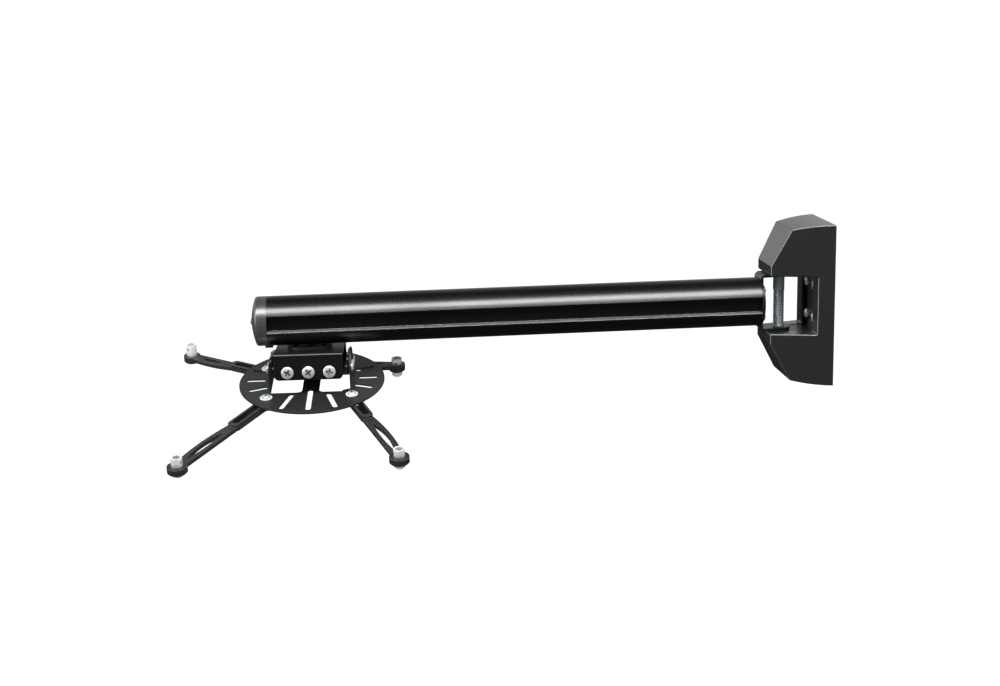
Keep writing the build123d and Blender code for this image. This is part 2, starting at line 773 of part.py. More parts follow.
for name, (x, y, angle, reach, kind, side, rise) in arms.items():
    out, slot, blind, boss_r = patterns[kind]
    step_x = reach - out
    slot_tip = step_x - arm_step_margin
    slot_end = slot_tip - slot
    inner_end = slot_end - arm_end_margin
    with BuildPart() as arm:
        with BuildSketch(arm_place(name, arm_under)):
            with Locations(((inner_end + step_x) / 2, 0)):
                RectangleRounded(step_x - inner_end, 2 * arm_in_half, arm_in_half * 0.75)
            with Locations(((slot_end + slot_tip - blind) / 2, 0)):
                SlotOverall(slot - blind, 2 * arm_slot_half, mode=Mode.SUBTRACT)
        extrude(amount=arm_in_t)
        with BuildSketch(arm_place(name, arm_top)):
            with Locations(((slot_end + slot_tip) / 2, 0)):
                SlotOverall(slot + 2 * arm_rim, 2 * (arm_in_half - arm_rim))
        extrude(amount=-arm_pocket, mode=Mode.SUBTRACT)
        with BuildSketch(arm_place(name, arm_under)):
            with BuildLine():
                Polyline(
                    (reach, side * arm_out_half),
                    (reach, -side * arm_out_half),
                    (step_x - arm_in_half * 0.75, -side * arm_out_half),
                    (step_x - arm_in_half * 0.75, side * arm_out_half),
                )
                ThreePointArc(
                    (step_x - arm_in_half * 0.75, side * arm_out_half),
                    (step_x + 0.45 * out, side * (arm_out_half + arm_bulge)),
                    (reach, side * arm_out_half),
                )
            make_face()
            lens_a = step_x + lens_in
            lens_b = reach - lens_tip
            with BuildSketch(mode=Mode.SUBTRACT):
                with BuildLine():
                    middle = (lens_a + lens_b) / 2
                    ThreePointArc((lens_a, 0), (middle, side * lens_bulge), (lens_b, 0))
                    ThreePointArc((lens_b, 0), (middle, -side * lens_flat), (lens_a, 0))
                make_face()
        extrude(amount=arm_out_t)
        boss_plane = arm_place(name, arm_low_top)
        with BuildSketch(boss_plane):
            with Locations((reach, 0)):
                Circle(boss_r)
        extrude(amount=-boss_h)
        rim = arm.edges().filter_by(GeomType.CIRCLE).sort_by(lambda e: (boss_plane.location.inverse() * e.location).position.Z)
        low_rim = rim.filter_by(lambda e: abs(e.radius - boss_r) < 0.01)[0]
        chamfer(low_rim, boss_edge)
        with BuildSketch(boss_plane):
            with Locations((reach, 0)):
                Circle(pillar_r + pillar_clear)
        extrude(amount=-boss_h - 1, mode=Mode.SUBTRACT)
    save(f"arm_{name}", arm.part, swivel)

    # The screw through the plate and the arm, with its washer and nut
    seat = arm_place(name, -spider_drop + face_gap)
    shank = spider_gauge + arm_gap + arm_in_t + arm_nut_h + arm_screw_tail + 2 * face_gap
    with BuildPart() as washer:
        with BuildSketch():
            Circle(arm_washer_r)
            Circle(arm_screw_r + arm_screw_clear, mode=Mode.SUBTRACT)
        extrude(amount=arm_washer_t)
    with BuildPart() as nut:
        with BuildSketch():
            RegularPolygon(arm_nut_hex / 2, 6, major_radius=False)
            Circle(arm_screw_r + arm_screw_clear, mode=Mode.SUBTRACT)
        extrude(amount=-arm_nut_h)
    arm_screw = screw(arm_head_r, arm_head_h, arm_screw_r, shank + arm_washer_t)
    pieces = [
        washer.part.moved(seat.location),
        arm_screw.moved(seat.offset(arm_washer_t).location),
        nut.part.moved(arm_place(name, arm_under - face_gap).location),
    ]
    save(f"arm_screw_{name}", Compound(children=pieces), swivel)

    # Hollow cross-drilled pillar through the boss
    with BuildPart() as pillar:
        top = arm_low_top + rise
        with BuildSketch(arm_place(name, top)):
            with Locations((reach, 0)):
                Circle(pillar_r)
        extrude(amount=-pillar_length)
        pillar_place = arm_place(name, top)
        foot = pillar.edges().sort_by(lambda e: (pillar_place.location.inverse() * e.location).position.Z)[0]
        chamfer(foot, pillar_end)
        with BuildSketch(arm_place(name, top)):
            with Locations((reach, 0)):
                Circle(pillar_bore_r)
        extrude(amount=-(pillar_length - pillar_floor), mode=Mode.SUBTRACT)
        with BuildSketch(arm_place(name, top)):
            with Locations((reach, 0)):
                Circle(pillar_screw_r)
        extrude(amount=-pillar_length - 1, mode=Mode.SUBTRACT)
        across = Location((reach, 0, -pillar_cross_drop), (90, 0, 0))
        with Locations(arm_place(name, top).location * across):
            Cylinder(pillar_cross_r, 3 * pillar_r, mode=Mode.SUBTRACT)
    save(f"pillar_{name}", pillar.part, swivel)
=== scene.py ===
import bpy
from math import cos, pi, radians, sin
from mathutils import Matrix, Vector


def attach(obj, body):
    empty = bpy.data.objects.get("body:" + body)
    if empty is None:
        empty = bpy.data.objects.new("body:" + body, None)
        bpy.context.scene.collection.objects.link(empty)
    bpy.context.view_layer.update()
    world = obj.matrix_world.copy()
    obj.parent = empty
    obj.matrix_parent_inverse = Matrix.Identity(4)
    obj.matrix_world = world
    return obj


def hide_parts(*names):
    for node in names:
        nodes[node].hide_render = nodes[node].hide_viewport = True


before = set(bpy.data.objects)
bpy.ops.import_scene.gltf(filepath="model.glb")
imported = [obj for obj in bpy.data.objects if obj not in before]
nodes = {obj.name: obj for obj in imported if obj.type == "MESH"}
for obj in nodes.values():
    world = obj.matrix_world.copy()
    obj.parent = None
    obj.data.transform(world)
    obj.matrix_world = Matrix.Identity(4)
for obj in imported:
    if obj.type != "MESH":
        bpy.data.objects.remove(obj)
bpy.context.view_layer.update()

# Studio. The mount hangs free in front of a white sweep and the camera looks down at it by
# about twelve degrees. One long soft box stands over it and in front, and the room is dim.
scene = bpy.context.scene
scene.view_settings.view_transform = "Standard"
camera_place = (-0.55321, -1.85249, 0.37206)
yaw, pitch, roll = 0.0813728, 0.2178058, 0.0242535
ahead = Vector((sin(yaw) * cos(pitch), cos(yaw) * cos(pitch), -sin(pitch)))
level = Vector((cos(yaw), -sin(yaw), 0))
below = ahead.cross(level)
right = cos(roll) * level + sin(roll) * below
down = -sin(roll) * level + cos(roll) * below
lens = bpy.data.cameras.new("camera")
lens.sensor_width = 36
lens.lens = 55.98
lens.clip_end = 30
camera = bpy.data.objects.new("camera", lens)
view = Matrix((right, -down, -ahead)).transposed().to_4x4()
view.translation = camera_place
camera.matrix_world = view
scene.collection.objects.link(camera)
scene.camera = camera

# The camera sees the room as plain white. Matt surfaces get an even fill. Mirrored rays see
# pale walls behind the mount, paler low down, and a dark room on the camera's side.
world = bpy.data.worlds.new("room")
world.use_nodes = True
scene.world = world
sky = world.node_tree
sky.nodes.clear()
white = sky.nodes.new("ShaderNodeBackground")
white.inputs["Color"].default_value = (1, 1, 1, 1)
white.inputs["Strength"].default_value = 1
around = sky.nodes.new("ShaderNodeBackground")
around.inputs["Strength"].default_value = 1
fill = sky.nodes.new("ShaderNodeBackground")
fill.inputs["Color"].default_value = (1, 1, 1, 1)
fill.inputs["Strength"].default_value = 0.36
way_out = sky.nodes.new("ShaderNodeTexCoord")
split = sky.nodes.new("ShaderNodeSeparateXYZ")
height = sky.nodes.new("ShaderNodeMapRange")
height.inputs["From Min"].default_value = -1
height.inputs["From Max"].default_value = 1
walls = sky.nodes.new("ShaderNodeValToRGB")
walls.color_ramp.elements[0].position = 0.46
walls.color_ramp.elements[0].color = (0.78, 0.81, 0.79, 1)
walls.color_ramp.elements[1].position = 0.93
walls.color_ramp.elements[1].color = (0.03, 0.03, 0.03, 1)
for spot, tone in ((0.6, 0.8), (0.67, 0.34), (0.82, 0.26)):
    walls.color_ramp.elements.new(spot).color = (0.98 * tone, 1.02 * tone, tone, 1)
behind = sky.nodes.new("ShaderNodeMapRange")
behind.interpolation_type = "SMOOTHSTEP"
behind.inputs["From Min"].default_value = -0.1
behind.inputs["From Max"].default_value = 0.4
sides = sky.nodes.new("ShaderNodeMix")
sides.data_type = "RGBA"
sides.inputs["A"].default_value = (0.03, 0.03, 0.03, 1)
rays = sky.nodes.new("ShaderNodeLightPath")
mirrored = sky.nodes.new("ShaderNodeMath")
mirrored.operation = "MAXIMUM"
choose_glossy = sky.nodes.new("ShaderNodeMixShader")
choose_camera = sky.nodes.new("ShaderNodeMixShader")
room_out = sky.nodes.new("ShaderNodeOutputWorld")
sky.links.new(way_out.outputs["Generated"], split.inputs["Vector"])
sky.links.new(split.outputs["Z"], height.inputs["Value"])
sky.links.new(height.outputs["Result"], walls.inputs["Fac"])
sky.links.new(split.outputs["Y"], behind.inputs["Value"])
sky.links.new(behind.outputs["Result"], sides.inputs["Factor"])
sky.links.new(walls.outputs["Color"], sides.inputs["B"])
sky.links.new(sides.outputs["Result"], around.inputs["Color"])
sky.links.new(rays.outputs["Is Glossy Ray"], mirrored.inputs[0])
sky.links.new(rays.outputs["Is Transmission Ray"], mirrored.inputs[1])
sky.links.new(mirrored.outputs["Value"], choose_glossy.inputs["Fac"])
sky.links.new(fill.outputs["Background"], choose_glossy.inputs[1])
sky.links.new(around.outputs["Background"], choose_glossy.inputs[2])
sky.links.new(rays.outputs["Is Camera Ray"], choose_camera.inputs["Fac"])
sky.links.new(choose_glossy.outputs["Shader"], choose_camera.inputs[1])
sky.links.new(white.outputs["Background"], choose_camera.inputs[2])
sky.links.new(choose_camera.outputs["Shader"], room_out.inputs["Surface"])

# The floor's paper glows white to the camera and stays dark in reflections.
floor_z = -0.6
floor_corners = [(-6, -4, floor_z), (6, -4, floor_z), (6, 6, floor_z), (-6, 6, floor_z)]
floor_mesh = bpy.data.meshes.new("floor")
floor_mesh.from_pydata(floor_corners, [], [(0, 1, 2, 3)])
floor = bpy.data.objects.new("floor", floor_mesh)
scene.collection.objects.link(floor)
paper = bpy.data.materials.new("white paper")
paper.use_nodes = True
paper_nodes = paper.node_tree.nodes
paper_links = paper.node_tree.links
paper_face = paper_nodes["Principled BSDF"]
paper_face.inputs["Base Color"].default_value = (0.9, 0.9, 0.9, 1)
paper_face.inputs["Roughness"].default_value = 0.9
glow = paper_nodes.new("ShaderNodeEmission")
glow.inputs["Strength"].default_value = 0.74
dim = paper_nodes.new("ShaderNodeEmission")
dim.inputs["Strength"].default_value = 0.03
both = paper_nodes.new("ShaderNodeAddShader")
paper_rays = paper_nodes.new("ShaderNodeLightPath")
paper_camera = paper_nodes.new("ShaderNodeMixShader")
paper_glossy = paper_nodes.new("ShaderNodeMixShader")
paper_links.new(paper_face.outputs["BSDF"], both.inputs[0])
paper_links.new(glow.outputs["Emission"], both.inputs[1])
paper_links.new(paper_rays.outputs["Is Glossy Ray"], paper_glossy.inputs["Fac"])
paper_links.new(paper_face.outputs["BSDF"], paper_glossy.inputs[1])
paper_links.new(dim.outputs["Emission"], paper_glossy.inputs[2])
paper_links.new(paper_rays.outputs["Is Camera Ray"], paper_camera.inputs["Fac"])
paper_links.new(paper_glossy.outputs["Shader"], paper_camera.inputs[1])
paper_links.new(both.outputs["Shader"], paper_camera.inputs[2])
paper_links.new(paper_camera.outputs["Shader"], paper_nodes["Material Output"].inputs["Surface"])
floor_mesh.materials.append(paper)


def soft_box(name, place, aim, width, height, power):
    lamp = bpy.data.lights.new(name, "AREA")
    lamp.shape = "RECTANGLE"
    lamp.size = width
    lamp.size_y = height
    lamp.energy = power
    lamp_object = bpy.data.objects.new(name, lamp)
    lamp_object.location = place
    toward = Vector(aim) - Vector(place)
    lamp_object.rotation_euler = toward.to_track_quat("-Z", "Y").to_euler()
    lamp_object.visible_camera = False
    scene.collection.objects.link(lamp_object)


soft_box("long box", (-0.35, -0.65, 0.93), aim=(-0.35, 0, 0), width=2.8, height=0.42, power=28)
soft_box("left strip", (-1.9, -0.3, 0.35), aim=(-0.5, 0, 0), width=0.5, height=1.0, power=6)


# Wall plate and yoke: pressed and bent from sheet steel, screwed together and powder coated
# satin black. coated makes the skin of every piece: a cloudy colour, grain of some scale and
# depth, rounded edges brightened to wear times the colour, the upward ones most, as worn paint
# and painted highlight, and, where asked, drawn lines or painted shade darkening the hollows.
def coated(
    name, base, rough, grain, depth, edge, level=0.5, wear_and_highlight=1.6, metal=0.0, streak=0.0, shade_in_hollows=0.0
):
    made = bpy.data.materials.new(name)
    made.use_nodes = True
    tree = made.node_tree
    shader = tree.nodes["Principled BSDF"]
    shader.inputs["Specular IOR Level"].default_value = level
    shader.inputs["Metallic"].default_value = metal
    where = tree.nodes.new("ShaderNodeTexCoord")
    cloud = tree.nodes.new("ShaderNodeTexNoise")
    cloud.inputs["Scale"].default_value = 16
    cloud.inputs["Detail"].default_value = 4
    tone = tree.nodes.new("ShaderNodeMapRange")
    tone.inputs["To Min"].default_value = 0.75
    tone.inputs["To Max"].default_value = 1.25
    tint = tree.nodes.new("ShaderNodeMix")
    tint.data_type = "RGBA"
    tint.blend_type = "MULTIPLY"
    tint.inputs["Factor"].default_value = 1
    tint.inputs["A"].default_value = (*base, 1)
    rounded = tree.nodes.new("ShaderNodeBevel")
    rounded.samples = 10
    rounded.inputs["Radius"].default_value = edge
    facing = tree.nodes.new("ShaderNodeNewGeometry")
    match = tree.nodes.new("ShaderNodeVectorMath")
    match.operation = "DOT_PRODUCT"
    # Painted highlight, partly worn paint: edges, where the rounded normal parts from the true one,
    # are brightened to wear times the colour, more where they face up.
    edge_mask = tree.nodes.new("ShaderNodeMapRange")
    edge_mask.inputs["From Min"].default_value = 1.0
    edge_mask.inputs["From Max"].default_value = 0.8
    upward = tree.nodes.new("ShaderNodeSeparateXYZ")
    upward_weight = tree.nodes.new("ShaderNodeMapRange")
    upward_weight.inputs["From Min"].default_value = -0.1
    upward_weight.inputs["From Max"].default_value = 0.3
    upward_weight.inputs["To Min"].default_value = 0.1
    edge_wear_and_highlight = tree.nodes.new("ShaderNodeMath")
    edge_wear_and_highlight.operation = "MULTIPLY"
    edged_colour = tree.nodes.new("ShaderNodeMix")
    edged_colour.data_type = "RGBA"
    edged_colour.inputs["B"].default_value = (*(part * wear_and_highlight for part in base), 1)
    pebble = tree.nodes.new("ShaderNodeTexNoise")
    pebble.inputs["Scale"].default_value = grain
    pebble.inputs["Detail"].default_value = 2
    drawn = tree.nodes.new("ShaderNodeMapping")
    drawn.inputs["Scale"].default_value = (1, 60, 60)
    lines = tree.nodes.new("ShaderNodeTexNoise")
    lines.inputs["Scale"].default_value = 9
    lines.inputs["Detail"].default_value = 3
    blend = tree.nodes.new("ShaderNodeMix")
    blend.inputs["Factor"].default_value = streak
    gloss = tree.nodes.new("ShaderNodeMapRange")
    gloss.inputs["From Min"].default_value = 0.3
    gloss.inputs["From Max"].default_value = 0.7
    spread = 0.06
    gloss.inputs["To Min"].default_value = rough - spread
    gloss.inputs["To Max"].default_value = rough + spread
    relief = tree.nodes.new("ShaderNodeBump")
    relief.inputs["Strength"].default_value = 0.5
    relief.inputs["Distance"].default_value = depth
    link = tree.links.new
    link(where.outputs["Object"], cloud.inputs["Vector"])
    link(where.outputs["Object"], pebble.inputs["Vector"])
    link(where.outputs["Object"], drawn.inputs["Vector"])
    link(drawn.outputs["Vector"], lines.inputs["Vector"])
    link(cloud.outputs["Fac"], tone.inputs["Value"])
    link(tone.outputs["Result"], tint.inputs["B"])
    link(rounded.outputs["Normal"], match.inputs[0])
    link(facing.outputs["Normal"], match.inputs[1])
    link(match.outputs["Value"], edge_mask.inputs["Value"])
    link(rounded.outputs["Normal"], upward.inputs["Vector"])
    link(upward.outputs["Z"], upward_weight.inputs["Value"])
    link(edge_mask.outputs["Result"], edge_wear_and_highlight.inputs[0])
    link(upward_weight.outputs["Result"], edge_wear_and_highlight.inputs[1])
    link(edge_wear_and_highlight.outputs["Value"], edged_colour.inputs["Factor"])
    link(tint.outputs["Result"], edged_colour.inputs["A"])
    # Painted shade: where asked, the colour is darkened in hollows and recesses, by how enclosed
    # they are.
    if shade_in_hollows:
        sheltered = tree.nodes.new("ShaderNodeAmbientOcclusion")
        sheltered.samples = 4
        sheltered.inputs["Distance"].default_value = 0.006
        hollow_darkening = tree.nodes.new("ShaderNodeMapRange")
        hollow_darkening.inputs["From Min"].default_value = 0.4
        hollow_darkening.inputs["From Max"].default_value = 0.85
        hollow_darkening.inputs["To Min"].default_value = 1 - shade_in_hollows
        shaded_colour = tree.nodes.new("ShaderNodeMix")
        shaded_colour.data_type = "RGBA"
        shaded_colour.blend_type = "MULTIPLY"
        shaded_colour.inputs["Factor"].default_value = 1
        link(sheltered.outputs["AO"], hollow_darkening.inputs["Value"])
        link(edged_colour.outputs["Result"], shaded_colour.inputs["A"])
        link(hollow_darkening.outputs["Result"], shaded_colour.inputs["B"])
        link(shaded_colour.outputs["Result"], shader.inputs["Base Color"])
    else:
        link(edged_colour.outputs["Result"], shader.inputs["Base Color"])
    link(pebble.outputs["Fac"], blend.inputs["A"])
    link(lines.outputs["Fac"], blend.inputs["B"])
    link(blend.outputs["Result"], gloss.inputs["Value"])
    link(gloss.outputs["Result"], shader.inputs["Roughness"])
    link(blend.outputs["Result"], relief.inputs["Height"])
    link(rounded.outputs["Normal"], relief.inputs["Normal"])
    link(relief.outputs["Normal"], shader.inputs["Normal"])
    return made


def finish(material, *names):
    for name in names:
        mesh = nodes[name].data
        mesh.materials.clear()
        mesh.materials.append(material)


black_steel = coated(
    "satin black steel", (0.009, 0.0095, 0.01), rough=0.34, grain=900, depth=0.00006, edge=0.0007
)
finish(black_steel, "wall_plate", "yoke")

# Yoke screws: zinc-plated pan screws with a cross recess, four through the yoke into the
# wall plate. One tree makes the pan screws of the whole mount, a seat and a way for each.
# This zinc carries painted shade, darkened in the screws' recesses and other hollows.
zinc = coated(
    "bright zinc", (0.78, 0.815, 0.84), rough=0.32, grain=700, depth=0.000008, edge=0.0003,
    wear_and_highlight=1.1, metal=0.5, shade_in_hollows=0.8,
)


def screw_maker():
    tree = bpy.data.node_groups.new("pan screws", "GeometryNodeTree")
    face = tree.interface
    face.new_socket("Seats", in_out="INPUT", socket_type="NodeSocketGeometry")
    sizes = ("Head radius", "Head height", "Shank radius", "Shank length", "Recess width")
    for label in sizes:
        face.new_socket(label, in_out="INPUT", socket_type="NodeSocketFloat")
    face.new_socket("Seed", in_out="INPUT", socket_type="NodeSocketInt")
    face.new_socket("Finish", in_out="INPUT", socket_type="NodeSocketMaterial")
    face.new_socket("Screws", in_out="OUTPUT", socket_type="NodeSocketGeometry")
    add = tree.nodes.new
    link = tree.links.new
    given = add("NodeGroupInput").outputs

    def feed(node, values):
        for slot, value in zip(node.inputs, values):
            if isinstance(value, (int, float)):
                slot.default_value = value
            else:
                link(value, slot)
        return node.outputs[0]

    def maths(action, a, b=0):
        step = add("ShaderNodeMath")
        step.operation = action
        return feed(step, (a, b))

    def vector(x, y, z):
        return feed(add("ShaderNodeCombineXYZ"), (x, y, z))

    # The head: a short cylinder whose upper points sink towards its rim
    head = add("GeometryNodeMeshCylinder")
    head.inputs["Vertices"].default_value = 40
    head.inputs["Fill Segments"].default_value = 7
    link(given["Head radius"], head.inputs["Radius"])
    link(given["Head height"], head.inputs["Depth"])
    spot = add("ShaderNodeSeparateXYZ")
    link(add("GeometryNodeInputPosition").outputs["Position"], spot.inputs["Vector"])
    x_squared = maths("POWER", spot.outputs["X"], 2)
    y_squared = maths("POWER", spot.outputs["Y"], 2)
    across = maths("SQRT", maths("ADD", x_squared, y_squared))
    share = maths("POWER", maths("DIVIDE", across, given["Head radius"]), 3)
    rim_drop = 0.55
    crown = maths("SUBTRACT", 1, maths("MULTIPLY", share, rim_drop))
    is_top = maths("GREATER_THAN", spot.outputs["Z"], 0)
    rise = maths("MULTIPLY", maths("MULTIPLY", crown, given["Head height"]), is_top)
    domed = add("GeometryNodeSetPosition")
    link(head.outputs["Mesh"], domed.inputs["Geometry"])
    link(vector(spot.outputs["X"], spot.outputs["Y"], rise), domed.inputs["Position"])

    # The cross recess: two crossed bars cut from the crown
    cut = add("GeometryNodeMeshBoolean")
    cut.operation = "DIFFERENCE"
    link(domed.outputs["Geometry"], cut.inputs["Mesh 1"])
    bar_length = maths("MULTIPLY", given["Head radius"], 1.15)
    bar_height = maths("MULTIPLY", given["Head height"], 1.6)
    bar_width = given["Recess width"]
    for footprint in ((bar_width, bar_length), (bar_length, bar_width)):
        bar = add("GeometryNodeMeshCube")
        link(vector(*footprint, bar_height), bar.inputs["Size"])
        lifted = add("GeometryNodeTransform")
        link(bar.outputs["Mesh"], lifted.inputs["Geometry"])
        link(vector(0, 0, given["Head height"]), lifted.inputs["Translation"])
        link(lifted.outputs["Geometry"], cut.inputs["Mesh 2"])

    # The shank below the head
    shank = add("GeometryNodeMeshCylinder")
    shank.inputs["Vertices"].default_value = 24
    link(given["Shank radius"], shank.inputs["Radius"])
    link(given["Shank length"], shank.inputs["Depth"])
    lowered = add("GeometryNodeTransform")
    link(shank.outputs["Mesh"], lowered.inputs["Geometry"])
    half_below = maths("MULTIPLY", given["Shank length"], -0.5)
    link(vector(0, 0, half_below), lowered.inputs["Translation"])
    whole = add("GeometryNodeJoinGeometry")
    link(cut.outputs["Mesh"], whole.inputs["Geometry"])
    link(lowered.outputs["Geometry"], whole.inputs["Geometry"])

    # A copy on each seat, turned about its own way by chance, with sharp creases kept
    way = add("GeometryNodeInputNamedAttribute")
    way.data_type = "FLOAT_VECTOR"
    way.inputs["Name"].default_value = "way"
    stand = add("FunctionNodeAlignRotationToVector")
    stand.axis = "Z"
    link(way.outputs["Attribute"], stand.inputs["Vector"])
    chance = add("FunctionNodeRandomValue")
    chance.data_type = "FLOAT"
    link(given["Seed"], chance.inputs["Seed"])
    twist = add("FunctionNodeAxisAngleToRotation")
    twist.inputs["Axis"].default_value = (0, 0, 1)
    link(maths("MULTIPLY", chance.outputs[1], pi / 2), twist.inputs["Angle"])
    turned = add("FunctionNodeRotateRotation")
    turned.rotation_space = "LOCAL"
    link(stand.outputs["Rotation"], turned.inputs["Rotation"])
    link(twist.outputs["Rotation"], turned.inputs["Rotate By"])
    copies = add("GeometryNodeInstanceOnPoints")
    link(given["Seats"], copies.inputs["Points"])
    link(whole.outputs["Geometry"], copies.inputs["Instance"])
    link(turned.outputs["Rotation"], copies.inputs["Rotation"])
    real = add("GeometryNodeRealizeInstances")
    link(copies.outputs["Instances"], real.inputs["Geometry"])
    smooth = add("GeometryNodeSetShadeSmooth")
    link(real.outputs["Geometry"], smooth.inputs["Geometry"])
    bend = add("GeometryNodeInputMeshEdgeAngle")
    crease = add("GeometryNodeSetShadeSmooth")
    crease.domain = "EDGE"
    crease.inputs["Shade Smooth"].default_value = False
    crease_angle = 0.6
    is_sharp = maths("GREATER_THAN", bend.outputs["Unsigned Angle"], crease_angle)
    link(is_sharp, crease.inputs["Selection"])
    link(smooth.outputs["Geometry"], crease.inputs["Geometry"])
    painted = add("GeometryNodeSetMaterial")
    link(crease.outputs["Geometry"], painted.inputs["Geometry"])
    link(given["Finish"], painted.inputs["Material"])
    link(painted.outputs["Geometry"], add("NodeGroupOutput").inputs["Screws"])
    return tree


pan_tree = screw_maker()
recess_share = 0.3


def pan_screws(name, body, node, seats, head_r, head_h, shank_r, shank_l, seed):
    mesh = bpy.data.meshes.new(name)
    mesh.from_pydata([seat for seat, way in seats], [], [])
    ways = mesh.attributes.new("way", "FLOAT_VECTOR", "POINT")
    for entry, (seat, way) in zip(ways.data, seats):
        entry.vector = way
    piece = bpy.data.objects.new(name, mesh)
    scene.collection.objects.link(piece)
    maker = piece.modifiers.new("screws", "NODES")
    maker.node_group = pan_tree
    given = {
        "Head radius": head_r,
        "Head height": head_h,
        "Shank radius": shank_r,
        "Shank length": shank_l,
        "Recess width": head_r * recess_share,
        "Seed": seed,
        "Finish": zinc,
    }
    for item in pan_tree.interface.items_tree:
        if item.name in given:
            maker[item.identifier] = given[item.name]
    evaluated = piece.evaluated_get(bpy.context.evaluated_depsgraph_get())
    piece.data = bpy.data.meshes.new_from_object(evaluated)
    piece.modifiers.clear()
    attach(piece, body)
    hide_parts(node)


yoke_face = -0.014
away_from_wall = Vector((-1, 0, 0))
yoke_seats = [
    (Vector((yoke_face, y, z)), away_from_wall) for y in (-0.015, 0.015) for z in (-0.0205, 0.0205)
]
pan_screws(
    "yoke_screw_set", "wall", "yoke_screws", yoke_seats,
    head_r=0.0058, head_h=0.0044, shank_r=0.0026, shank_l=0.010, seed=3,
)


# Wall cover: one ABS moulding clipped over the plate, dark grey with a fine spark-eroded
# grain, with a highlight painted along its rounded upper and front edges. Its window leaves the
# yoke and pivot open.
def band(tree, value, rise, full, fade, gone):
    """Rises from black to white and falls again as the value grows."""
    ramp = tree.nodes.new("ShaderNodeValToRGB")
    ramp.color_ramp.elements[0].position = rise
    ramp.color_ramp.elements[1].position = gone
    ramp.color_ramp.elements[1].color = (0, 0, 0, 1)
    for spot in (full, fade):
        ramp.color_ramp.elements.new(spot).color = (1, 1, 1, 1)
    tree.links.new(value, ramp.inputs["Fac"])
    return ramp.outputs["Color"]


def repaint(tree, share, colour):
    """Lays a colour over the share of the skin that is white."""
    skin = tree.nodes["Principled BSDF"].inputs["Base Color"]
    coat = tree.nodes.new("ShaderNodeMix")
    coat.data_type = "RGBA"
    coat.inputs["B"].default_value = colour
    tree.links.new(share, coat.inputs["Factor"])
    tree.links.new(skin.links[0].from_socket, coat.inputs["A"])
    tree.links.new(coat.outputs["Result"], skin)


cover_plastic = coated(
    "grained cover plastic", (0.0148, 0.0168, 0.016), rough=0.27, grain=1300, depth=0.00001,
    edge=0.0022, level=0.85, wear_and_highlight=8,
)
cover_tree = cover_plastic.node_tree
# Painted highlight: a pale band along the rounded edges between the sides and the top and front,
# where the normal leans up and out; its edges are also brightened eightfold as painted highlight.
corner_normal = cover_tree.nodes.new("ShaderNodeNewGeometry")
corner_parts = cover_tree.nodes.new("ShaderNodeSeparateXYZ")
corner_side = cover_tree.nodes.new("ShaderNodeMath")
corner_side.operation = "ABSOLUTE"
up_and_out = cover_tree.nodes.new("ShaderNodeVectorMath")
up_and_out.operation = "DOT_PRODUCT"
up_and_out.inputs[1].default_value = (-0.5, 0, 0.87)
corner_upward = cover_tree.nodes.new("ShaderNodeMapRange")
corner_upward.inputs["From Min"].default_value = 0.05
corner_upward.inputs["From Max"].default_value = 0.3
corner_highlight = cover_tree.nodes.new("ShaderNodeMath")
corner_highlight.operation = "MULTIPLY"
cover_link = cover_tree.links.new
cover_link(corner_normal.outputs["Normal"], corner_parts.inputs["Vector"])
cover_link(corner_normal.outputs["Normal"], up_and_out.inputs[0])
cover_link(corner_parts.outputs["Y"], corner_side.inputs[0])
corner_band = band(cover_tree, corner_side.outputs["Value"], 0.15, 0.4, 0.85, 0.97)
cover_link(up_and_out.outputs["Value"], corner_upward.inputs["Value"])
cover_link(corner_band, corner_highlight.inputs[0])
cover_link(corner_upward.outputs["Result"], corner_highlight.inputs[1])
repaint(cover_tree, corner_highlight.outputs["Value"], (0.24, 0.25, 0.25, 1))
finish(cover_plastic, "wall_cover")


# Pivot: a zinc-plated hexagon bolt of 14 mm, plain below its head and threaded further down,
# with its nut under the yoke and two thin nylon washers between the yoke's ears and the fork.
def hexagon(name, body, flats, height, bore, place, material):
    sides = 48
    crown_share = 0.96
    chamfer_slope = 0.6
    half = flats / 2
    inner = half * crown_share
    bottom, top, crown, hole_low, hole_high = [], [], [], [], []
    for k in range(sides):
        angle = 2 * pi * k / sides
        along, beside = cos(angle), sin(angle)
        edge = half / cos((angle + pi / 6) % (pi / 3) - pi / 6)
        bottom.append((edge * along, edge * beside, 0))
        top.append((edge * along, edge * beside, height - max(0, edge - inner) * chamfer_slope))
        crown.append((inner * along, inner * beside, height))
        hole_low.append((bore * along, bore * beside, 0))
        hole_high.append((bore * along, bore * beside, height))
    points = bottom + top + crown
    faces = []
    if bore:
        points += hole_high + hole_low
    else:
        faces = [tuple(range(2 * sides, 3 * sides)), tuple(reversed(range(sides)))]
    rings = len(points) // sides
    for ring in range(rings if bore else rings - 1):
        for k in range(sides):
            after = (k + 1) % sides
            low, high = ring * sides, (ring + 1) % rings * sides
            faces.append((low + k, low + after, high + after, high + k))
    mesh = bpy.data.meshes.new(name)
    mesh.from_pydata([place @ Vector(point) for point in points], [], faces)
    mesh.materials.append(material)
    piece = bpy.data.objects.new(name, mesh)
    scene.collection.objects.link(piece)
    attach(piece, body)
    return piece


